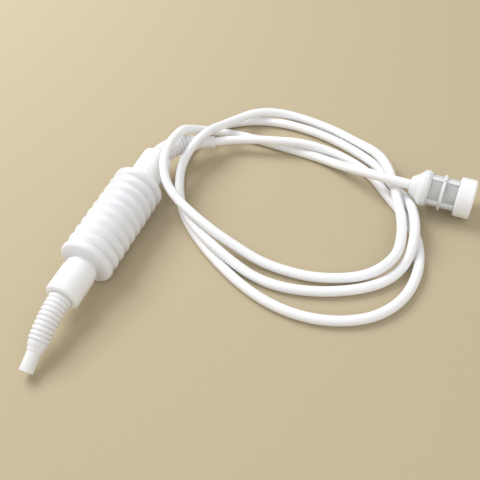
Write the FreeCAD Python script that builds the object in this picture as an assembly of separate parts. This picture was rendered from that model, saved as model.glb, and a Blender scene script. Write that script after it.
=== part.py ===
import FreeCAD, Part
import math
import os
from FreeCAD import Placement, Rotation, Vector

# Hand siphon for draining an aquarium: a squeeze bellows between two one-way valves, a corrugated
# spout at each end, and a long soft hose, lying in loops, that ends in a strainer.
# The pump lies on its bellows with its axis along Y. Its inlet end is at +Y. +Z is up.
# All lengths are in millimetres and all angles in degrees.

# Driving dimensions
hose_diameter = 8.0
bellows_diameter = 45.0
bellows_length = 93.0       # between the two necks
bellows_convolutions = 10
housing_diameter = 28.0
housing_length = 31.0
spout_length = 60.0         # outside its housing
spout_ribs = 10
spout_base_diameter = 18.8
tip_diameter = 11.0
strainer_diameter = 27.4
strainer_length = 50.0
strainer_cap_diameter = 31.6
pump_x = -125.1
pump_y = 6.0
strainer_inlet_x = 96.4
strainer_y = 112.5
strainer_tilt = 6.0         # inlet end up, where the hose lies across its own turns

# Shared sizes
wall = 1.4
close_gap = 0.05            # between parts that are pushed together by hand
free_gap = 0.3              # between parts that move past each other
round_sides = 32            # flat sides of a round part, the same on all of them so that they nest
pump_z = bellows_diameter / 2
bore_radius = hose_diameter / 2 + close_gap

pump_middle = Vector(pump_x, pump_y, pump_z)
inlet_side = Placement(pump_middle, Rotation(Vector(1, 0, 0), -90))
outlet_side = Placement(pump_middle, Rotation(Vector(1, 0, 0), 90))


def on_ring(radius, height, side, sides):
    """A corner of a many-sided ring about Z."""
    angle = 2 * math.pi * (side % sides) / sides
    return Vector(radius * math.cos(angle), radius * math.sin(angle), height)


def ring_wire(radius, sides):
    """A closed many-sided ring in the plane of height 0."""
    return Part.makePolygon([on_ring(radius, 0, side, sides) for side in range(sides + 1)])


def turned(profile):
    """A many-sided solid about Z from (radius, height) points, given in order round the outline."""
    faces = []
    for (radius, height), (next_radius, next_height) in zip(profile, profile[1:] + profile[:1]):
        if radius == 0 and next_radius == 0:
            continue
        for side in range(round_sides):
            corners = [on_ring(radius, height, side, round_sides)]
            if radius > 0:
                corners.append(on_ring(radius, height, side + 1, round_sides))
            if next_radius > 0:
                corners.append(on_ring(next_radius, next_height, side + 1, round_sides))
            corners.append(on_ring(next_radius, next_height, side, round_sides))
            faces.append(Part.Face(Part.makePolygon(corners + corners[:1])))
    return closed_solid(faces)


def closed_solid(faces):
    """The solid inside a closed set of faces, the right way out."""
    solid = Part.makeSolid(Part.makeShell(faces))
    if solid.Volume < 0:
        solid.reverse()
    return solid


def tube(inner, outer, bottom, top):
    """A plain ring, or a disc where the inner radius is 0."""
    return turned([(inner, bottom), (outer, bottom), (outer, top), (inner, top)])


def placed(shape, placement):
    """A copy of the shape moved from its own frame, where its axis is Z, to its place."""
    moved = shape.copy()
    moved.Placement = placement.multiply(moved.Placement)
    return moved


def save(node, shape):
    """Write one sub-part, with its solids checked."""
    if not shape.isValid():
        raise ValueError(node + " is not a valid shape")
    if shape.Volume <= 0:
        raise ValueError(node + " is inside out")
    os.makedirs("parts", exist_ok=True)
    shape.exportStep("parts/" + node + ".step")
    print(node, "volume", round(shape.Volume, 1))


# Bellows: one blow-moulded piece with a neck at each end
neck_radius = 11.5
neck_length = 14.0
neck_bore_radius = neck_radius - 1.8
bellows_half = bellows_length / 2
convolution_pitch = bellows_length / bellows_convolutions
groove_depth = 2.2
groove_half_width = 2.4
shoulder_length = 3.6
bellows_bore_radius = bellows_diameter / 2 - groove_depth - wall


def make_bellows():
    crest = bellows_diameter / 2
    outline = [
        (neck_bore_radius, -bellows_half - neck_length),
        (neck_radius, -bellows_half - neck_length),
        (neck_radius, -bellows_half),
        (crest - shoulder_length, -bellows_half),
        (crest, -bellows_half + shoulder_length),
    ]
    for groove in range(1, bellows_convolutions):
        height = -bellows_half + groove * convolution_pitch
        outline.append((crest, height - groove_half_width))
        outline.append((crest - groove_depth, height))
        outline.append((crest, height + groove_half_width))
    outline += [
        (crest, bellows_half - shoulder_length),
        (crest - shoulder_length, bellows_half),
        (neck_radius, bellows_half),
        (neck_radius, bellows_half + neck_length),
        (neck_bore_radius, bellows_half + neck_length),
        (neck_bore_radius, bellows_half - wall),
        (bellows_bore_radius, bellows_half - shoulder_length),
        (bellows_bore_radius, -bellows_half + shoulder_length),
        (neck_bore_radius, -bellows_half + wall),
    ]
    return turned(outline)


# Valve housings: a cup over each bellows neck, with a grip collar at its open end
housing_start = bellows_half + 3.5
housing_end = housing_start + housing_length
housing_bore_radius = neck_radius + free_gap
collar_length = 5.0
collar_step = 0.7
housing_end_wall = 3.0
housing_end_round = 1.6
spout_neck_radius = 8.4
spout_hole_radius = spout_neck_radius + close_gap


def make_housing():
    outer = housing_diameter / 2
    return turned([
        (housing_bore_radius, housing_start),
        (outer - collar_step, housing_start),
        (outer - collar_step, housing_start + collar_length),
        (outer, housing_start + collar_length + collar_step),
        (outer, housing_end - housing_end_round),
        (outer - housing_end_round, housing_end),
        (spout_hole_radius, housing_end),
        (spout_hole_radius, housing_end - housing_end_wall),
        (housing_bore_radius, housing_end - housing_end_wall),
    ])


# One-way valves: a seat plate, a floating disc and a cage that guides and stops the disc
cartridge_radius = housing_bore_radius - close_gap
seat_thickness = 2.5
port_radius = 5.0
cage_length = 6.0
cage_bore_radius = 10.0
guide_radius = 8.1
guide_width = 2.0
guide_count = 3
disc_radius = guide_radius - free_gap
disc_thickness = 1.5
disc_travel = 2.5
stop_thickness = cage_length - disc_thickness - disc_travel - close_gap
spout_flange_thickness = 2.0
cartridge_end = housing_end - housing_end_wall - spout_flange_thickness
cartridge_start = cartridge_end - seat_thickness - cage_length


def make_seat():
    """Seat plate with its port, its sealing face at height 0 and its body below."""
    return tube(port_radius, cartridge_radius, -seat_thickness, 0)


def make_disc():
    """Floating disc, resting on the sealing face at height 0."""
    return tube(0, disc_radius, close_gap, close_gap + disc_thickness)


def make_cage():
    """Cage above the sealing face: a ring, guide ribs beside the disc and a three-armed stop over it."""
    ring = tube(cage_bore_radius, cartridge_radius, 0, cage_length)
    rib_reach = cage_bore_radius + (cartridge_radius - cage_bore_radius) / 2
    rib = Part.makeBox(rib_reach - guide_radius, guide_width, cage_length,
                       Vector(guide_radius, -guide_width / 2, 0))
    arm = Part.makeBox(rib_reach, guide_width, stop_thickness,
                       Vector(0, -guide_width / 2, cage_length - stop_thickness))
    spokes = []
    for index in range(guide_count):
        for piece in (rib, arm):
            spoke = piece.copy()
            spoke.rotate(Vector(0, 0, 0), Vector(0, 0, 1), index * 360 / guide_count)
            spokes.append(spoke)
    return ring.fuse(spokes).removeSplitter()


def cartridge_place(side, faces_outward):
    """Where a valve's sealing face goes: outward flow leaves the pump, inward flow enters it."""
    if faces_outward:
        return side.multiply(Placement(Vector(0, 0, cartridge_start + seat_thickness), Rotation()))
    return side.multiply(Placement(Vector(0, 0, cartridge_end - seat_thickness),
                                   Rotation(Vector(1, 0, 0), 180)))


# Spouts: flange and neck inside the housing, ribs that let it bend, and a plain tip
rib_pitch = 3.6
rib_depth = 1.3
rib_start = 0.7
rib_taper = 0.8             # on the radius, from the first rib to the last
spout_sides = 20
spout_bore_radius = 6.2
tip_bore_length = 15.0
tip_stop = 0.6              # the ledge at the inner end of the tip's bore, which stops the hose
cut_margin = 1.0            # how far a bore's cutter runs past the end that it opens
spout_flange_radius = 11.6
ribs_end = rib_start + spout_ribs * rib_pitch
bore_stations = 7
outlet_bend_angle = 20.0
outlet_bend_radius = 86.0
inlet_bend_angle = 57.0
inlet_bend_radius = 34.0
inlet_bend_tilt = 12.1      # how far the bend leans down from level


def spout_station(distance, bend_angle, bend_radius, bend_axis):
    """Place and heading on the spout's centre line, measured from the housing's end face."""
    towards = bend_axis.cross(Vector(0, 0, 1))
    arc_length = math.radians(bend_angle) * bend_radius
    turned_by = math.radians(bend_angle) * min(max(distance, 0), arc_length) / arc_length
    centre = towards * (bend_radius * (1 - math.cos(turned_by)))
    centre += Vector(0, 0, bend_radius * math.sin(turned_by))
    heading = towards * math.sin(turned_by) + Vector(0, 0, math.cos(turned_by))
    centre += heading * (min(distance, 0) + max(distance - arc_length, 0))
    return Placement(centre, Rotation(bend_axis, math.degrees(turned_by)))


def spout_ring(distance, radius, bend):
    """The corners of the ring at a distance along the spout."""
    station = spout_station(distance, *bend)
    return [station.multVec(on_ring(radius, 0, side, spout_sides)) for side in range(spout_sides)]


def spout_skin(outline, bend):
    """A solid with a ring at each (distance, radius) of a closed outline, and flat triangles between."""
    rings = [spout_ring(distance, radius, bend) for distance, radius in outline]
    faces = []
    for ring, next_ring in zip(rings, rings[1:] + rings[:1]):
        for side in range(spout_sides):
            ahead = (side + 1) % spout_sides
            for far in ((ring[ahead], next_ring[ahead]), (next_ring[ahead], next_ring[side])):
                faces.append(Part.Face(Part.makePolygon([ring[side], *far, ring[side]])))
    return closed_solid(faces)


def make_spout(bend):
    """One moulded tube: the flange that the housing traps, the ribs, and a stepped taper to the tip."""
    flange_top = -housing_end_wall
    flange_base = flange_top - spout_flange_thickness
    tip_radius = tip_diameter / 2
    tip_bore_start = spout_length - tip_bore_length
    outline = [
        (flange_base, spout_bore_radius),
        (flange_base, spout_flange_radius),
        (flange_top, spout_flange_radius),
        (flange_top, spout_neck_radius),
    ]
    for rib in range(spout_ribs):
        start = rib_start + rib * rib_pitch
        crest = spout_base_diameter / 2 - rib_taper * rib / (spout_ribs - 1)
        root = spout_neck_radius if rib == 0 else crest - rib_depth
        outline.append((start, root))
        outline.append((start + rib_pitch / 2, crest))
    outline += [
        (ribs_end, tip_radius + 2.4),
        (ribs_end + 4.0, tip_radius + 1.5),
        (ribs_end + 4.8, tip_radius + 1.0),
        (ribs_end + 7.2, tip_radius + 0.7),
        (ribs_end + 8.0, tip_radius),
        (spout_length, tip_radius),
        (spout_length, bore_radius - tip_stop),
        (tip_bore_start, bore_radius - tip_stop),
    ]
    for index in reversed(range(bore_stations)):
        outline.append((ribs_end * index / (bore_stations - 1), spout_bore_radius))
    tip_bore = Part.makeCylinder(bore_radius, tip_bore_length + cut_margin)
    tip_bore = placed(tip_bore, spout_station(tip_bore_start, *bend))
    return spout_skin(outline, bend).cut(tip_bore)


level_axis = Vector(1, 0, 0)
outlet_bend = (outlet_bend_angle, outlet_bend_radius, level_axis)
inlet_towards = Vector(math.cos(math.radians(inlet_bend_tilt)), math.sin(math.radians(inlet_bend_tilt)), 0)
inlet_bend = (inlet_bend_angle, inlet_bend_radius, Vector(0, 0, 1).cross(inlet_towards))


def spout_on_pump(side, bend, distance):
    """The place of a point on a spout's centre line, in the part's own frame."""
    on_spout = spout_station(distance, *bend)
    return side.multiply(Placement(Vector(0, 0, housing_end), Rotation())).multiply(on_spout)


# Strainer: a moulded cage on the hose, a sleeve of fine mesh in it and a push-on end cap
cage_wall = 1.3
socket_depth = 9.0
flange_start = 10.0
flange_length = 3.6
flange_rise = 1.1
cage_end = strainer_length - 4.0
cap_length = 12.7
cap_end_wall = 3.2
cap_edge = 1.2
window_rows = ((15.6, 8.4), (27.4, 9.4))     # where each row starts, and its length
window_count = 4
window_rib_half_angle = 7.0
middle_ring_start = 24.4
middle_ring_length = 2.6
middle_ring_rise = 0.6
nub_radius = 1.5
nub_rise = 1.0
nub_sides = 8
ring_inset = 0.2            # keeps the middle ring and the nubs off the mesh
mesh_thickness = 0.4
tilt = math.radians(strainer_tilt)
cap_rim_height = (strainer_length - cap_edge) * math.sin(tilt) + strainer_cap_diameter / 2 * math.cos(tilt)
strainer_side = Placement(
    Vector(strainer_inlet_x, strainer_y, cap_rim_height),
    Rotation(Vector(0, 1, 0), 90 + strainer_tilt),
)


def make_strainer_cage():
    outer = strainer_diameter / 2
    inner = outer - cage_wall
    shell = turned([
        (bore_radius, 0),
        (bore_radius + 2.4, 0),
        (bore_radius + 3.4, 1.2),
        (outer - 3.4, 5.6),
        (outer + flange_rise, flange_start),
        (outer + flange_rise, flange_start + flange_length),
        (outer, flange_start + flange_length + 0.8),
        (outer, cage_end),
        (inner, cage_end),
        (inner, flange_start + 2.4),
        (inner - 4.0, socket_depth - 1.6),
        (bore_radius + 1.6, socket_depth - 2.6),
        (bore_radius + 1.6, socket_depth),
        (bore_radius, socket_depth),
    ])
    ring = turned([
        (inner + ring_inset, middle_ring_start),
        (outer + middle_ring_rise, middle_ring_start),
        (outer + middle_ring_rise, middle_ring_start + middle_ring_length),
        (inner + ring_inset, middle_ring_start + middle_ring_length),
    ])
    half_opening = 180 / window_count - window_rib_half_angle
    half_width = outer * math.sin(math.radians(half_opening))
    cutters = []
    for start, length in window_rows:
        for index in range(window_count):
            window = Part.makeBox(outer, 2 * half_width, length, Vector(outer / 2, -half_width, start))
            window.rotate(Vector(0, 0, 0), Vector(0, 0, 1), (index + 0.5) * 360 / window_count)
            cutters.append(window)
    nubs = []
    nub_start = inner + ring_inset
    nub_length = outer + middle_ring_rise + nub_rise - nub_start
    nub_foot = Vector(nub_start, 0, middle_ring_start + middle_ring_length / 2)
    for angle in (0, 180):
        nub = Part.Face(ring_wire(nub_radius, nub_sides)).extrude(Vector(0, 0, nub_length))
        nub = placed(nub, Placement(nub_foot, Rotation(Vector(0, 1, 0), 90)))
        nub.rotate(Vector(0, 0, 0), Vector(0, 0, 1), angle)
        nubs.append(nub)
    return shell.cut(Part.makeCompound(cutters)).fuse([ring] + nubs)


def make_strainer_mesh():
    outer = strainer_diameter / 2 - cage_wall - close_gap
    return tube(outer - mesh_thickness, outer, flange_start + flange_length, cage_end)


def make_strainer_cap():
    outer = strainer_cap_diameter / 2
    inner = strainer_diameter / 2 + close_gap
    start = strainer_length - cap_length
    return turned([
        (inner, start),
        (outer - 0.6, start),
        (outer, start + 0.6),
        (outer, strainer_length - cap_edge),
        (outer - cap_edge, strainer_length),
        (0, strainer_length),
        (0, strainer_length - cap_end_wall),
        (inner, strainer_length - cap_end_wall),
    ])


# Hose: its centre line from inside the inlet spout's tip to inside the strainer, in three turns
# and a last strand, as runs joined by arcs
cuff_end = spout_on_pump(inlet_side, inlet_bend, spout_length)
cuff_heading = cuff_end.Rotation.multVec(Vector(0, 0, 1))
hose_in_cuff = 12.0
hose_in_strainer = 8.0
hose_lead = 16.0            # straight out of the cuff
hose_approach = 20.0        # straight into the strainer
strainer_axis = strainer_side.Rotation.multVec(Vector(0, 0, 1))
arc_share = 0.45            # of the shorter run beside each corner
hose_sides = 7

# A height of 4, the hose's own radius, lies on the floor
hose_route = [
    # first turn, over the last strand and round the outside
    (-57, 142, 13.5), (-33, 145, 14), (-10, 149, 13), (15, 151, 7), (42, 143, 4), (61, 130.5, 4),
    (76, 114, 4), (91.5, 98.5, 4), (106, 82.5, 4), (116, 63, 4), (121, 39, 4), (117, 12, 4),
    (102, -9, 4), (78, -21, 4), (51, -25, 4), (22, -21, 4), (-6, -10, 4), (-34, 6, 4),
    (-62, 26, 4), (-86, 49, 4), (-104, 80, 4), (-116, 110, 4), (-114, 140, 4), (-99, 165, 4),
    # second turn, under the cuff and over the first at the right
    (-73, 178, 4), (-44, 182, 4), (-14, 178, 4), (15, 169, 4), (42, 156, 4), (65, 142, 4),
    (81, 122, 4), (97, 107, 7.5), (107, 85, 14), (112, 63, 13.5), (111, 45, 7), (104, 29, 4),
    (91, 16, 4), (72, 6, 4), (50, -1, 4), (26, -4, 4), (3, -1, 4), (-16, 5, 7.5),
    (-36, 13, 12), (-56, 24, 13.5), (-73, 37, 13.5), (-87, 52, 13.5),
    # third turn, over the cuff and along the top
    (-96, 68, 13.5), (-102, 85, 17), (-101, 101, 23.5), (-96, 116, 28), (-92, 132, 26.5),
    (-89, 149, 18.5), (-82, 165, 14), (-67, 180, 14), (-47, 190, 9.5), (-22, 192, 4),
    (9, 183, 4), (37, 169, 5), (58, 155, 10.5), (73, 136, 13), (82, 117, 13), (90, 99, 13),
    (98, 80, 12.5), (102, 62, 13), (103, 46, 12.5), (97, 33, 11), (86, 24, 7), (70, 18, 4),
    (47, 12, 4), (23, 12, 4), (1, 14, 6), (-21, 19, 12), (-42, 24, 18.5), (-62, 32, 23),
    # last strand, over the inlet housing and its spout and across to the strainer
    (-81, 42, 25), (-96, 52, 31.5), (-105, 67, 39.5), (-110, 86, 41.5), (-112, 104, 38),
    (-113, 120, 33), (-112, 134, 22), (-104, 146, 12), (-90, 153, 6), (-70, 155, 4),
    (-44, 151.5, 4), (-17, 147, 4), (5, 143.5, 4), (25, 136.5, 6.5), (42, 127, 13), (58, 117.5, 21),
]


def hose_points():
    start = cuff_end.Base - cuff_heading * hose_in_cuff
    lead = cuff_end.Base + cuff_heading * hose_lead
    finish = strainer_side.Base + strainer_axis * hose_in_strainer
    approach = strainer_side.Base - strainer_axis * hose_approach
    return [start, lead] + [Vector(*point) for point in hose_route] + [approach, finish]


def hose_edges(points):
    """Straight runs joined by arcs that touch them."""
    edges = []
    radii = []
    run_start = points[0]
    for before, corner, after in zip(points, points[1:], points[2:]):
        back = before - corner
        ahead = after - corner
        turn = math.pi - back.getAngle(ahead)
        reach = arc_share * min(back.Length, ahead.Length)
        back.normalize()
        ahead.normalize()
        arc_start = corner + back * reach
        arc_end = corner + ahead * reach
        radius = reach / math.tan(turn / 2)
        to_centre = back + ahead
        to_centre.normalize()
        corner_to_centre = math.hypot(reach, radius)
        arc_middle = corner + to_centre * (corner_to_centre - radius)
        edges.append(Part.LineSegment(run_start, arc_start).toShape())
        edges.append(Part.Arc(arc_start, arc_middle, arc_end).toShape())
        radii.append(radius)
        run_start = arc_end
    edges.append(Part.LineSegment(run_start, points[-1]).toShape())
    return edges, radii


def least_self_gap(edges, spacing=3.0, beside=45.0):
    """The smallest space between stretches of the hose that are not neighbours along it."""
    samples = []
    travelled = 0.0
    for edge in edges:
        count = max(2, int(edge.Length / spacing) + 1)
        for index in range(count):
            share = index / count
            parameter = edge.FirstParameter + share * (edge.LastParameter - edge.FirstParameter)
            samples.append((travelled + share * edge.Length, edge.valueAt(parameter)))
        travelled += edge.Length
    least = min(
        first.distanceToPoint(second)
        for index, (first_at, first) in enumerate(samples)
        for second_at, second in samples[index + 1:]
        if second_at - first_at > beside
    )
    return least - hose_diameter


def make_hose():
    edges, radii = hose_edges(hose_points())
    path = Part.Wire(edges)
    section_centre = edges[0].valueAt(edges[0].FirstParameter)
    ring = ring_wire(hose_diameter / 2, hose_sides)
    ring.Placement = Placement(section_centre, Rotation(Vector(0, 0, 1), cuff_heading))
    hose = path.makePipeShell([ring], True, False)
    section_area = Part.Face(ring).Area
    print("hose length", round(path.Length), "least radius", round(min(radii), 1),
          "least gap to itself", round(least_self_gap(edges), 2))
    print("hose volume over section times length", round(hose.Volume / (section_area * path.Length), 4))
    return hose


# Build every piece at its place
save("bellows", placed(make_bellows(), inlet_side))
for end, side, outward, bend in (("inlet", inlet_side, False, inlet_bend),
                                 ("outlet", outlet_side, True, outlet_bend)):
    valve_place = cartridge_place(side, outward)
    spout_place = side.multiply(Placement(Vector(0, 0, housing_end), Rotation()))
    save(end + "_housing", placed(make_housing(), side))
    save(end + "_valve_seat", placed(make_seat(), valve_place))
    save(end + "_valve_disc", placed(make_disc(), valve_place))
    save(end + "_valve_cage", placed(make_cage(), valve_place))
    save(end + "_spout", placed(make_spout(bend), spout_place))
save("strainer_cage", placed(make_strainer_cage(), strainer_side))
save("strainer_mesh", placed(make_strainer_mesh(), strainer_side))
save("strainer_cap", placed(make_strainer_cap(), strainer_side))
save("hose", make_hose())
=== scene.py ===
import math

import bmesh
import bpy
from mathutils import Matrix, Vector


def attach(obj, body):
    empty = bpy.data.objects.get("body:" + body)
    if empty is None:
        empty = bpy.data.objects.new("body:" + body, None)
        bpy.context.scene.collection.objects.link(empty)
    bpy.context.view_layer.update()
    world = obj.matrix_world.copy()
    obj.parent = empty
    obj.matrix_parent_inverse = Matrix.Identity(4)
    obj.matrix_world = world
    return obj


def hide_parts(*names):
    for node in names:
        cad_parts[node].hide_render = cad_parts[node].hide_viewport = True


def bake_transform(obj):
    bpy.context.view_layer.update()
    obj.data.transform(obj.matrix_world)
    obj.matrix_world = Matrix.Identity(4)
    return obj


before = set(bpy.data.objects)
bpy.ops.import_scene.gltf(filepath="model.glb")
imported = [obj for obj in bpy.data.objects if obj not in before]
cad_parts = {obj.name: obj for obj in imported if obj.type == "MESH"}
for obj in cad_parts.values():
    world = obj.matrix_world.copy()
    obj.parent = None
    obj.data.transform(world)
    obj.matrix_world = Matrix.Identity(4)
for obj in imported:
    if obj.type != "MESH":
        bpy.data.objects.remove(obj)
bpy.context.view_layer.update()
print("frame loaded")

mm = 0.001

# where the pump and the strainer lie
layout = {
    "pumpMiddle": (-125.1, 6.0, 22.5),
    "strainerInlet": (96.4, 112.5, 20.81),
    "strainerTilt": 6.0,    # degrees, inlet end up
}

strainerPlace = (Matrix.Translation(Vector(layout["strainerInlet"]) * mm)
                 @ Matrix.Rotation(math.radians(90 + layout["strainerTilt"]), 4, "Y"))


# a valve end's own frame: its axis is Z, pointing out of the pump
def pumpSide(turn):
    return (Matrix.Translation(Vector(layout["pumpMiddle"]) * mm)
            @ Matrix.Rotation(math.radians(turn), 4, "X"))


inletSide = pumpSide(-90)
outletSide = pumpSide(90)


# camera, placed as it was for the photo
cameraSizes = {
    "place": (165.4, -272.3, 401.5),
    "right": (0.9127, 0.3841, -0.1391),
    "up": (-0.2064, 0.7274, 0.6545),
    "forward": (-0.3526, 0.5687, -0.7431),
    "lens": 48.75,
    "sensor": 36.0,
    "near": 0.01,
}

camera = bpy.data.objects.new("camera", bpy.data.cameras.new("camera"))
bpy.context.scene.collection.objects.link(camera)
camera.data.lens = cameraSizes["lens"]
camera.data.sensor_width = cameraSizes["sensor"]
camera.data.clip_start = cameraSizes["near"]
cameraTurn = Matrix((cameraSizes["right"], cameraSizes["up"], [-part for part in cameraSizes["forward"]]))
camera.matrix_world = (Matrix.Translation(Vector(cameraSizes["place"]) * mm)
                       @ cameraTurn.transposed().to_4x4())
bpy.context.scene.camera = camera
print("camera placed")


# a socket that can stand in Python sums
class Wire:
    def __init__(self, tree, socket):
        self.tree = tree
        self.socket = socket

    def reckon(self, operation, first, second):
        node = self.tree.nodes.new("ShaderNodeMath")
        node.operation = operation
        for slot, item in zip(node.inputs, (first, second)):
            if isinstance(item, Wire):
                self.tree.links.new(item.socket, slot)
            else:
                slot.default_value = item
        return Wire(self.tree, node.outputs[0])

    def __add__(self, other):
        return self.reckon("ADD", self, other)

    def __radd__(self, other):
        return self.reckon("ADD", other, self)

    def __mul__(self, other):
        return self.reckon("MULTIPLY", self, other)

    def __rmul__(self, other):
        return self.reckon("MULTIPLY", other, self)


# a material under construction; fixed holds the sockets that are the same all over
class Finish:
    def __init__(self, name, fixed):
        self.material = bpy.data.materials.new(name)
        self.material.use_nodes = True
        self.tree = self.material.node_tree
        self.shader = self.tree.nodes["Principled BSDF"]
        for socket, value in fixed.items():
            self.shader.inputs[socket].default_value = value

    def feed(self, socket, value):
        if isinstance(value, Wire):
            self.tree.links.new(value.socket, socket)
        else:
            socket.default_value = value

    def node(self, kind, settings, feeds, output=0):
        made = self.tree.nodes.new(kind)
        for name, value in settings.items():
            setattr(made, name, value)
        for name, value in feeds.items():
            self.feed(made.inputs[name], value)
        return Wire(self.tree, made.outputs[output])

    def place(self):
        return self.node("ShaderNodeTexCoord", {}, {}, "Object")

    def noise(self, scale, detail=3.0):
        feeds = {"Vector": self.place(), "Scale": scale, "Detail": detail}
        return self.node("ShaderNodeTexNoise", {}, feeds)

    # a Mix node takes colours at its inputs 6 and 7 and gives one at its output 2
    def blendColours(self, mask, first, second):
        return self.node("ShaderNodeMix", {"data_type": "RGBA"}, {0: mask, 6: first, 7: second}, 2)

    def bump(self, height, strength, distance):
        feeds = {"Height": height, "Strength": strength, "Distance": distance}
        self.feed(self.shader.inputs["Normal"], self.node("ShaderNodeBump", {}, feeds))


moulding = {
    "lightReach": 0.003,    # metres that light travels inside
    "refraction": 1.5,
    "cloudShare": 0.5,
    "glossSpread": 0.12,
    "peelDetail": 2.0,
    "peelStrength": 0.12,
    "peelHeight": 0.0003,
}


# milky plastic: cloudy colour, painted shade in the grooves of a grooved piece, slightly uneven gloss and
# the faint orange peel of a moulding
def mouldedPlastic(name, pale, shade, roughness, cloud, peel, milky, paintedGrooveShade=0.0):
    finish = Finish(name, {
        "Subsurface Weight": milky,
        "Subsurface Radius": (1.0, 1.0, 1.0),
        "Subsurface Scale": moulding["lightReach"],
        "IOR": moulding["refraction"],
    })
    clouds = finish.noise(cloud)
    mask = clouds * moulding["cloudShare"]
    # painted shade in the grooves: the deeper a point lies in one, the nearer its colour comes to the darker
    # one
    if paintedGrooveShade:
        shadeInGroove = finish.node("ShaderNodeAttribute", {"attribute_name": "shadeInGroove"}, {}, "Fac")
        mask = mask + shadeInGroove * paintedGrooveShade
    finish.feed(finish.shader.inputs["Base Color"], finish.blendColours(mask, pale, shade))
    finish.feed(finish.shader.inputs["Roughness"], roughness + moulding["glossSpread"] * clouds)
    peelNoise = finish.noise(peel, moulding["peelDetail"])
    finish.bump(peelNoise, moulding["peelStrength"], moulding["peelHeight"])
    return finish.material


# each has its name, pale and darker colour, roughness, scale of clouds and of peel, milkiness,
# and for a grooved piece how strongly shade is painted into its grooves
finishes = {
    "housing_plastic": mouldedPlastic(
        "whitePlastic", (0.97, 0.97, 0.97, 1), (0.92, 0.93, 0.94, 1), 0.28, 60, 900, 0.2),
    "bellows_plastic": mouldedPlastic(
        "milkyBellows", (0.95, 0.96, 0.98, 1), (0.84, 0.87, 0.95, 1), 0.34, 45, 600, 0.6, 0.3),
    "spout_plastic": mouldedPlastic(
        "greyishSpout", (0.93, 0.93, 0.93, 1), (0.74, 0.73, 0.74, 1), 0.36, 80, 900, 0.5, 0.4),
    "hose_rubber": mouldedPlastic(
        "milkyHose", (0.94, 0.94, 0.96, 1), (0.87, 0.87, 0.91, 1), 0.33, 35, 1200, 0.55),
    "strainer_plastic": mouldedPlastic(
        "frostedFrame", (0.84, 0.86, 0.86, 1), (0.72, 0.75, 0.75, 1), 0.36, 90, 1200, 0.5),
    "valve_rubber": mouldedPlastic(
        "valveRubber", (0.72, 0.72, 0.74, 1), (0.6, 0.6, 0.62, 1), 0.5, 120, 1500, 0.1),
    "mesh": mouldedPlastic(
        "nylonMesh", (0.84, 0.85, 0.85, 1), (0.74, 0.76, 0.76, 1), 0.5, 300, 3000, 0.1),
}
print("materials made:", len(finishes))


# the corners of an outline of (distance, radius) points become small curves
def soften(outline, reach, steps=4):
    edgeShare = 0.45        # two curves on one short edge never meet
    softened = []
    for index, corner in enumerate(outline):
        here = Vector(corner)
        back = Vector(outline[index - 1]) - here
        ahead = Vector(outline[(index + 1) % len(outline)]) - here
        if corner[1] == 0:
            softened.append(here)
            continue
        start = here + back.normalized() * min(reach, back.length * edgeShare)
        end = here + ahead.normalized() * min(reach, ahead.length * edgeShare)
        for step in range(steps + 1):
            share = step / steps
            softened.append(start * (1 - share) ** 2 + here * 2 * share * (1 - share) + end * share ** 2)
    return softened


sharpFrom = math.radians(50)        # edges steeper than this stay sharp


# joins parts, each a (vertices, faces, painted groove shade) list, into one smooth piece
def makePiece(name, parts, slot, body, replaces):
    vertices = []
    faces = []
    paintedGrooveShade = []
    for partVertices, partFaces, partGrooveShade in parts:
        offset = len(vertices)
        vertices += partVertices
        paintedGrooveShade += partGrooveShade
        faces += [[corner + offset for corner in face] for face in partFaces]
    mesh = bpy.data.meshes.new(name)
    mesh.from_pydata(vertices, [], faces)
    # each point's share of painted groove shade is stored on the mesh, for its finish to darken by
    mesh.attributes.new("shadeInGroove", "FLOAT", "POINT").data.foreach_set("value", paintedGrooveShade)
    work = bmesh.new()
    work.from_mesh(mesh)
    bmesh.ops.recalc_face_normals(work, faces=work.faces)
    work.to_mesh(mesh)
    work.free()
    mesh.shade_smooth()
    mesh.set_sharp_from_angle(angle=sharpFrom)
    mesh.materials.append(finishes[slot])
    piece = bpy.data.objects.new(name, mesh)
    bpy.context.scene.collection.objects.link(piece)
    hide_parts(*replaces)
    if body:
        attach(piece, body)
    return piece


def onRing(radius, angle, distance=0):
    return Vector((radius * math.cos(angle), radius * math.sin(angle), distance)) * mm


# rings along a line, from a closed outline; place gives the frame at a distance in millimetres
def rings(outline, place, sides=96, grooveShadeAt=None):
    vertices = []
    paintedGrooveShade = []
    loops = []
    for distance, radius in outline:
        at = place(distance)
        count = sides if radius > 0 else 1
        loop = []
        for side in range(count):
            angle = 2 * math.pi * side / sides
            loop.append(len(vertices))
            vertices.append(at @ onRing(radius, angle))
            # the painted groove shade that this point is given, none where no measure is passed
            paintedGrooveShade.append(grooveShadeAt(distance, radius) if grooveShadeAt else 0.0)
        loops.append(loop)
    faces = []
    for first, second in zip(loops, loops[1:] + loops[:1]):
        if len(first) + len(second) == 2:
            continue
        for side in range(sides):
            ahead = (side + 1) % sides
            quad = [first[side % len(first)], first[ahead % len(first)],
                    second[ahead % len(second)], second[side % len(second)]]
            faces.append(list(dict.fromkeys(quad)))
    return vertices, faces, paintedGrooveShade


# the frame at a distance along a straight axis
def along(side):
    return lambda distance: side @ Matrix.Translation((0, 0, distance * mm))


# Hose, first of the pieces: it leaves the inlet spout's tip, lies in three turns and enters the strainer
hoseSizes = {
    "diameter": 8.0,
    "length": 2150.0,
    "inCuff": 12.0,
    "lead": 16.0,
    "approach": 20.0,
    "inStrainer": 8.0,
    "order": 3,
    "stepsPerPoint": 8,
    "roundSteps": 7,
}

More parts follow.
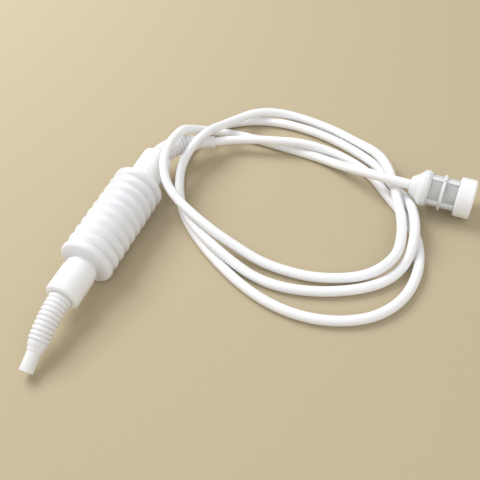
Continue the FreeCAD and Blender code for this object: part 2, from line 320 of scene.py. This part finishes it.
spoutSizes = {
    "length": 60.0,
    "ribs": 10,
    "ribStart": 0.7,
    "ribPitch": 3.6,
    "ribDepth": 1.3,
    "ribTaper": 0.8,
    "baseRadius": 9.4,
    "neckRadius": 8.4,
    "flangeRadius": 11.6,
    "flangeBack": -5.0,
    "flangeFront": -3.0,
    "boreRadius": 6.2,
    "tipRadius": 5.5,
    "tipBore": 4.05,
    "tipStop": 3.45,
    "tipDepth": 15.0,
    "ribRise": 0.7,
    "ribFall": 1.0,
    "ribGap": 0.2,
    "ribLean": 0.1,
    # at each step of the taper, how far past the ribs and how far over the plain tip
    "tipSteps": ((0.6, 2.3), (4.0, 1.5), (4.8, 1.0), (7.2, 0.7), (8.0, 0.0)),
    "plainStep": 2.0,
    "plainSteps": 6,
    "boreSteps": 12,
    "boreSkin": 0.2,
    "round": 0.35,
    "roundSteps": 3,
    "sides": 80,
}
housingEnd = 81.0           # from the pump's middle
outletBend = (20.0, 86.0, Vector((1, 0, 0)))
inletLean = math.radians(12.1)
inletTowards = Vector((math.cos(inletLean), math.sin(inletLean), 0))
inletBend = (57.0, 34.0, Vector((0, 0, 1)).cross(inletTowards))


# the frame at a distance along a bent spout: an arc, then straight on
def bentPlace(side, bend):
    angle, radius, axis = bend
    full = math.radians(angle)
    towards = axis.cross(Vector((0, 0, 1)))
    base = side @ Matrix.Translation((0, 0, housingEnd * mm))

    def place(distance):
        turned = full * min(max(distance, 0), full * radius) / (full * radius)
        centre = towards * radius * (1 - math.cos(turned)) + Vector((0, 0, radius * math.sin(turned)))
        heading = towards * math.sin(turned) + Vector((0, 0, math.cos(turned)))
        centre += heading * (min(distance, 0) + max(distance - full * radius, 0))
        return base @ Matrix.Translation(centre * mm) @ Matrix.Rotation(turned, 4, axis)

    return place


inletPlace = bentPlace(inletSide, inletBend)
outletPlace = bentPlace(outletSide, outletBend)

# a height of 4 lies on the floor
hoseRoute = [
    # first turn, over the last strand and round the outside
    (-57, 142, 13.5), (-33, 145, 14), (-10, 149, 13), (15, 151, 7), (42, 143, 4), (61, 130.5, 4),
    (76, 114, 4), (91.5, 98.5, 4), (106, 82.5, 4), (116, 63, 4), (121, 39, 4), (117, 12, 4),
    (102, -9, 4), (78, -21, 4), (51, -25, 4), (22, -21, 4), (-6, -10, 4), (-34, 6, 4),
    (-62, 26, 4), (-86, 49, 4), (-104, 80, 4), (-116, 110, 4), (-114, 140, 4), (-99, 165, 4),
    # second turn, under the cuff and over the first at the right
    (-73, 178, 4), (-44, 182, 4), (-14, 178, 4), (15, 169, 4), (42, 156, 4), (65, 142, 4),
    (81, 122, 4), (97, 107, 7.5), (107, 85, 14), (112, 63, 13.5), (111, 45, 7), (104, 29, 4),
    (91, 16, 4), (72, 6, 4), (50, -1, 4), (26, -4, 4), (3, -1, 4), (-16, 5, 7.5),
    (-36, 13, 12), (-56, 24, 13.5), (-73, 37, 13.5), (-87, 52, 13.5),
    # third turn, over the cuff and along the top
    (-96, 68, 13.5), (-102, 85, 17), (-101, 101, 23.5), (-96, 116, 28), (-92, 132, 26.5),
    (-89, 149, 18.5), (-82, 165, 14), (-67, 180, 14), (-47, 190, 9.5), (-22, 192, 4),
    (9, 183, 4), (37, 169, 5), (58, 155, 10.5), (73, 136, 13), (82, 117, 13), (90, 99, 13),
    (98, 80, 12.5), (102, 62, 13), (103, 46, 12.5), (97, 33, 11), (86, 24, 7), (70, 18, 4),
    (47, 12, 4), (23, 12, 4), (1, 14, 6), (-21, 19, 12), (-42, 24, 18.5), (-62, 32, 23),
    # last strand, over the inlet housing and its spout and across to the strainer
    (-81, 42, 25), (-96, 52, 31.5), (-105, 67, 39.5), (-110, 86, 41.5), (-112, 104, 38),
    (-113, 120, 33), (-112, 134, 22), (-104, 146, 12), (-90, 153, 6), (-70, 155, 4),
    (-44, 151.5, 4), (-17, 147, 4), (5, 143.5, 4), (25, 136.5, 6.5), (42, 127, 13), (58, 117.5, 21),
]


def pointAlong(place, distance):
    return place(distance).translation


strainerAlong = along(strainerPlace)
cuffEnd = spoutSizes["length"]
hosePoints = [pointAlong(inletPlace, cuffEnd + step)
              for step in (-hoseSizes["inCuff"], 0, hoseSizes["lead"])]
hosePoints += [Vector(point) * mm for point in hoseRoute]
hosePoints += [pointAlong(strainerAlong, step)
               for step in (-hoseSizes["approach"], 0, hoseSizes["inStrainer"])]

hoseCurve = bpy.data.curves.new("hose", "CURVE")
hoseCurve.dimensions = "3D"
hoseCurve.bevel_depth = hoseSizes["diameter"] / 2 * mm
hoseCurve.bevel_resolution = hoseSizes["roundSteps"]
hoseCurve.resolution_u = hoseSizes["stepsPerPoint"]
hoseCurve.use_fill_caps = True
hoseLine = hoseCurve.splines.new("NURBS")
hoseLine.points.add(len(hosePoints) - 1)
for controlPoint, place in zip(hoseLine.points, hosePoints):
    controlPoint.co = (*place, 1)
hoseLine.order_u = hoseSizes["order"]
hoseLine.use_endpoint_u = True
hoseLine.use_smooth = True
hoseCurve.materials.append(finishes["hose_rubber"])
hose = bpy.data.objects.new("softHose", hoseCurve)
bpy.context.scene.collection.objects.link(hose)
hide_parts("hose")
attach(hose, "pump")
tuple(pointAlong(inletPlace, cuffEnd))
print("hose laid through", len(hosePoints), "points")


# Bellows: one thin blown wall with rounded folds, made at its rest length; the real one shortens when
# squeezed
bellowsSizes = {
    "half": 46.5,
    "radius": 22.5,
    "folds": 10,
    "foldDepth": 2.0,
    "foldSharpness": 1.4,
    "foldSteps": 14,
    "shoulder": 3.4,
    "wall": 1.4,
    "neckRadius": 11.5,
    "neckBore": 9.7,
    "neckLength": 14.0,
    "flareLength": 1.0,
    "flareRise": 1.2,
    "sides": 128,
}


def makeBellows():
    sizes = bellowsSizes
    half = sizes["half"]
    pitch = 2 * half / sizes["folds"]
    wallLine = []
    for step in range(sizes["folds"] * sizes["foldSteps"] + 1):
        height = -half + step * pitch / sizes["foldSteps"]
        fold = abs(math.sin(math.pi * (height + half) / pitch)) ** sizes["foldSharpness"]
        radius = sizes["radius"] - sizes["foldDepth"] * (1 - fold)
        fromEnd = half - abs(height)
        if fromEnd < sizes["shoulder"]:     # the two ends round over towards the necks
            drop = 1 - fromEnd / sizes["shoulder"]
            radius = sizes["radius"] - sizes["shoulder"] * (1 - math.sqrt(1 - drop ** 2))
        wallLine.append((height, radius))
    neck = sizes["neckRadius"]
    neckEnd = half + sizes["neckLength"]
    flareEnd = half + sizes["flareLength"]
    foot = neck + sizes["flareRise"]
    inset = half - sizes["wall"]
    outline = [(-neckEnd, sizes["neckBore"]), (-neckEnd, neck), (-flareEnd, neck), (-half, foot)]
    outline += wallLine
    outline += [(half, foot), (flareEnd, neck), (neckEnd, neck), (neckEnd, sizes["neckBore"])]
    outline += [(inset, sizes["neckBore"])]
    outline += [(height * inset / half, radius - sizes["wall"]) for height, radius in reversed(wallLine)]
    outline += [(-inset, sizes["neckBore"])]

    # painted shade: the deeper a point lies in a fold, the darker it is painted; the rounded ends get none
    def grooveShadeAt(height, radius):
        if abs(height) > half - sizes["shoulder"]:
            return 0.0
        return max(0.0, min(1.0, (sizes["radius"] - radius) / sizes["foldDepth"]))

    return rings(outline, along(inletSide), sizes["sides"], grooveShadeAt)


bellows = makePiece("squeezeBellows", [makeBellows()], "bellows_plastic", None, ["bellows"])
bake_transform(bellows)
print("bellows made")


# Housings: a white cup over each neck, with a grip collar at its open end
housingSizes = {
    "start": 50.0,
    "end": housingEnd,
    "radius": 14.0,
    "boreRadius": 11.8,
    "collar": 5.0,
    "collarStep": 0.7,
    "endWall": 3.0,
    "hole": 8.45,
    "chamfer": 1.2,
    "round": 0.9,
}


def makeHousing(side):
    sizes = housingSizes
    radius = sizes["radius"]
    outline = [
        (sizes["start"], sizes["boreRadius"]),
        (sizes["start"], radius - sizes["collarStep"]),
        (sizes["start"] + sizes["collar"], radius - sizes["collarStep"]),
        (sizes["start"] + sizes["collar"] + sizes["collarStep"], radius),
        (sizes["end"] - sizes["chamfer"], radius),
        (sizes["end"], radius - sizes["chamfer"]),
        (sizes["end"], sizes["hole"]),
        (sizes["end"] - sizes["endWall"], sizes["hole"]),
        (sizes["end"] - sizes["endWall"], sizes["boreRadius"]),
    ]
    return rings(soften(outline, sizes["round"]), along(side))


# Spouts: ribs that let the tube bend, then a stepped taper to a plain tip
def makeSpout(place):
    sizes = spoutSizes
    outline = [
        (sizes["flangeBack"], sizes["boreRadius"]),
        (sizes["flangeBack"], sizes["flangeRadius"]),
        (sizes["flangeFront"], sizes["flangeRadius"]),
        (sizes["flangeFront"], sizes["neckRadius"]),
        (sizes["ribStart"], sizes["neckRadius"]),
    ]
    for rib in range(sizes["ribs"]):
        start = sizes["ribStart"] + rib * sizes["ribPitch"]
        crest = sizes["baseRadius"] - sizes["ribTaper"] * rib / (sizes["ribs"] - 1)
        outline += [
            (start + sizes["ribRise"], crest),
            (start + sizes["ribPitch"] - sizes["ribFall"], crest - sizes["ribLean"]),
            (start + sizes["ribPitch"] - sizes["ribGap"], crest - sizes["ribDepth"]),
            (start + sizes["ribPitch"], crest - sizes["ribDepth"]),
        ]
    ribsEnd = sizes["ribStart"] + sizes["ribs"] * sizes["ribPitch"]
    tip = sizes["tipRadius"]
    outline += [(ribsEnd + past, tip + over) for past, over in sizes["tipSteps"]]
    plainStart = ribsEnd + sizes["tipSteps"][-1][0]
    outline += [(plainStart + step * sizes["plainStep"], tip) for step in range(1, sizes["plainSteps"] + 1)]
    outline += [(sizes["length"], tip), (sizes["length"], sizes["tipBore"])]
    boreEnd = sizes["length"] - sizes["tipDepth"]
    outline += [(boreEnd, sizes["tipBore"]), (boreEnd, sizes["tipStop"])]
    stations = sizes["boreSteps"]
    outline += [(ribsEnd * station / stations, sizes["boreRadius"]) for station in range(stations, 0, -1)]

    # painted shade: the deeper a point lies between two ribs, the darker it is painted; the bore and the
    # plain tip get none
    def grooveShadeAt(distance, radius):
        if not sizes["ribStart"] < distance < ribsEnd or radius < sizes["boreRadius"] + sizes["boreSkin"]:
            return 0.0
        crest = sizes["baseRadius"] - sizes["ribTaper"] * (distance - sizes["ribStart"]) / ribsEnd
        return max(0.0, min(1.0, (crest - radius) / sizes["ribDepth"]))

    return rings(soften(outline, sizes["round"], sizes["roundSteps"]), place, sizes["sides"], grooveShadeAt)


for end, side, place, body in (("inlet", inletSide, inletPlace, "pump"),
                               ("outlet", outletSide, outletPlace, "outlet_end")):
    makePiece(end + "Cup", [makeHousing(side)], "housing_plastic", body, [end + "_housing"])
    makePiece(end + "RibbedSpout", [makeSpout(place)], "spout_plastic", body, [end + "_spout"])
    print(end, "cup and spout made")


# Strainer: socket and flange, window bars, rings and nubs in one frosted frame
strainerSizes = {
    "radius": 13.7,
    "wall": 1.3,
    "socketRadius": 4.05,
    "windowStart": 15.6,
    "ringStart": 24.5,
    "ringEnd": 26.9,
    "rowEnd": 36.8,
    "end": 46.0,
    "bars": 4,
    "barHalfAngle": 7.0,
    "barOverlap": 0.4,
    "ringRise": 0.6,
    "flangeRise": 1.1,
    "round": 0.4,
    "nubRadius": 1.5,
    "nubRise": 1.6,
    "nubSink": 0.6,
    "nubRound": 0.6,
    "nubSides": 32,
    "meshStart": 13.8,
    "meshShort": 0.2,
    "meshInset": 0.2,
    "wirePitch": 0.55,
    "wireThickness": 0.26,
}


# a curved bar between two distances, centred on an angle
def windowBar(middle, inner, outer, start, end, half):
    steps = 4
    vertices = []
    for distance in (start, end):
        for radius in (inner, outer):
            for step in range(steps + 1):
                angle = math.radians(middle - half + 2 * half * step / steps)
                vertices.append(strainerPlace @ onRing(radius, angle, distance))
    row = steps + 1
    faces = []
    for step in range(steps):
        faces.append([step, step + 1, 2 * row + step + 1, 2 * row + step])
        faces.append([row + step, row + step + 1, 3 * row + step + 1, 3 * row + step])
        faces.append([step, step + 1, row + step + 1, row + step])
        faces.append([2 * row + step, 2 * row + step + 1, 3 * row + step + 1, 3 * row + step])
    for edge in (0, steps):
        faces.append([edge, row + edge, 3 * row + edge, 2 * row + edge])
    return vertices, faces, [0.0] * len(vertices)


# a round-topped nub that stands out from the middle ring
def nub(angle):
    sizes = strainerSizes
    middle = (sizes["ringStart"] + sizes["ringEnd"]) / 2
    foot = sizes["radius"] - sizes["nubSink"]
    top = sizes["radius"] + sizes["nubRise"]
    spin = Matrix.Rotation(math.radians(angle), 4, "Z") @ Matrix.Translation((0, 0, middle * mm))
    side = strainerPlace @ spin @ Matrix.Rotation(math.radians(90), 4, "Y")
    outline = [(foot, 0), (foot, sizes["nubRadius"]), (top, sizes["nubRadius"]), (top, 0)]
    return rings(soften(outline, sizes["nubRound"]), along(side), sizes["nubSides"])


def makeCage():
    sizes = strainerSizes
    outer = sizes["radius"]
    inner = outer - sizes["wall"]
    socket = sizes["socketRadius"]
    flange = outer + sizes["flangeRise"]
    ring = outer + sizes["ringRise"]
    # out along the cone and the flange to the windows, then back inside to the socket's own tube
    front = [
        (0, socket), (0, socket + 2.4), (1.2, socket + 3.4), (5.6, outer - 3.4), (10.0, flange),
        (13.6, flange), (14.4, outer), (sizes["windowStart"], outer), (sizes["windowStart"], inner),
        (12.4, inner), (7.4, inner - 4.0), (6.4, socket + 1.6), (9.0, socket + 1.6), (9.0, socket),
    ]
    middle = [(sizes["ringStart"], inner), (sizes["ringStart"], ring),
              (sizes["ringEnd"], ring), (sizes["ringEnd"], inner)]
    back = [(sizes["rowEnd"], inner), (sizes["rowEnd"], outer), (sizes["end"], outer), (sizes["end"], inner)]
    parts = [rings(soften(outline, sizes["round"]), strainerAlong) for outline in (front, middle, back)]
    barStart = sizes["windowStart"] - sizes["barOverlap"]
    barEnd = sizes["rowEnd"] + sizes["barOverlap"]
    for bar in range(sizes["bars"]):
        middleAngle = bar * 360 / sizes["bars"]
        parts.append(windowBar(middleAngle, inner, outer, barStart, barEnd, sizes["barHalfAngle"]))
    parts += [nub(0), nub(180)]
    return parts


makePiece("strainerFrame", makeCage(), "strainer_plastic", "pump", ["strainer_cage"])


# the mesh is real wires: a fine grid rolled into a sleeve, then each edge made a wire
def makeMesh():
    sizes = strainerSizes
    radius = sizes["radius"] - sizes["wall"] - sizes["meshInset"]
    start = sizes["meshStart"]
    rows = int((sizes["end"] - sizes["meshShort"] - start) / sizes["wirePitch"])
    columns = int(2 * math.pi * radius / sizes["wirePitch"])
    vertices = []
    for row in range(rows + 1):
        at = strainerAlong(start + row * sizes["wirePitch"])
        for column in range(columns):
            angle = 2 * math.pi * column / columns
            vertices.append(at @ onRing(radius, angle))
    faces = []
    for row in range(rows):
        for column in range(columns):
            ahead = (column + 1) % columns
            faces.append([row * columns + column, row * columns + ahead,
                          (row + 1) * columns + ahead, (row + 1) * columns + column])
    return vertices, faces, [0.0] * len(vertices)


wireMesh = makePiece("strainerWires", [makeMesh()], "mesh", "pump", ["strainer_mesh"])
wires = wireMesh.modifiers.new("wires", "WIREFRAME")
wires.thickness = strainerSizes["wireThickness"] * mm
wires.use_replace = True
wires.use_boundary = True


# the cap pushes over the frame's end and has a shallow dish in its face
capSizes = {
    "radius": 15.8,
    "innerRadius": 13.75,
    "start": 37.3,
    "end": 50.0,
    "endWall": 3.2,
    "edge": 1.2,
    "mouthEdge": 0.6,
    "rim": 3.0,
    "dishEdge": 3.8,
    "dish": 0.5,
    "round": 0.7,
}


def makeCap():
    sizes = capSizes
    outline = [
        (sizes["start"], sizes["innerRadius"]),
        (sizes["start"], sizes["radius"] - sizes["mouthEdge"]),
        (sizes["start"] + sizes["mouthEdge"], sizes["radius"]),
        (sizes["end"] - sizes["edge"], sizes["radius"]),
        (sizes["end"], sizes["radius"] - sizes["edge"]),
        (sizes["end"], sizes["radius"] - sizes["rim"]),
        (sizes["end"] - sizes["dish"], sizes["radius"] - sizes["dishEdge"]),
        (sizes["end"] - sizes["dish"], 0),
        (sizes["end"] - sizes["endWall"], 0),
        (sizes["end"] - sizes["endWall"], sizes["innerRadius"]),
    ]
    return rings(soften(outline, sizes["round"]), strainerAlong)


makePiece("strainerLid", [makeCap()], "housing_plastic", "strainer_lid", ["strainer_cap"])
print("strainer made")


# the valves keep their own solids
for node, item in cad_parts.items():
    if "valve" in node:
        item.data.materials.clear()
        item.data.materials.append(finishes["valve_rubber" if node.endswith("disc") else "housing_plastic"])

# floor and light
studio = {
    "floorColour": (0.51, 0.43, 0.285, 1),
    "floorRoughness": 0.8,
    "floorGrain": 120.0,
    "grainShare": 0.3,
    "grainShade": 0.93,
    "floorSize": 6.0,
    "keyPlace": (-0.95, 0.42, 1.15),
    "keySize": 0.9,
    "keyPower": 16.5,
    "fillPlace": (0.9, -0.7, 0.9),
    "fillPower": 4.0,
    "skyStrength": 0.6,
    "skyColour": (1, 1, 1, 1),
}

floorFinish = Finish("paleFloor", {"Roughness": studio["floorRoughness"]})
floorMask = floorFinish.noise(studio["floorGrain"]) * studio["grainShare"]
floorShade = [part * studio["grainShade"] for part in studio["floorColour"][:3]] + [1]
floorFinish.feed(floorFinish.shader.inputs["Base Color"],
                 floorFinish.blendColours(floorMask, studio["floorColour"], floorShade))
reach = studio["floorSize"] / 2
floorMesh = bpy.data.meshes.new("floor")
floorMesh.from_pydata([(-reach, -reach, 0), (reach, -reach, 0), (reach, reach, 0), (-reach, reach, 0)],
                      [], [[0, 1, 2, 3]])
floorMesh.materials.append(floorFinish.material)
floor = bpy.data.objects.new("floor", floorMesh)
bpy.context.scene.collection.objects.link(floor)


def areaLight(name, place, power, size):
    light = bpy.data.lights.new(name, "AREA")
    light.energy = power
    light.size = size
    lamp = bpy.data.objects.new(name, light)
    bpy.context.scene.collection.objects.link(lamp)
    lamp.location = place
    lamp.rotation_euler = (-Vector(place)).to_track_quat("-Z", "Y").to_euler()


areaLight("key", studio["keyPlace"], studio["keyPower"], studio["keySize"])
areaLight("fill", studio["fillPlace"], studio["fillPower"], studio["keySize"])
sky = bpy.data.worlds.new("sky")
sky.use_nodes = True
sky.node_tree.nodes["Background"].inputs["Strength"].default_value = studio["skyStrength"]
sky.node_tree.nodes["Background"].inputs["Color"].default_value = studio["skyColour"]
bpy.context.scene.world = sky
bpy.context.scene.view_settings.view_transform = "Standard"
print("studio lit")
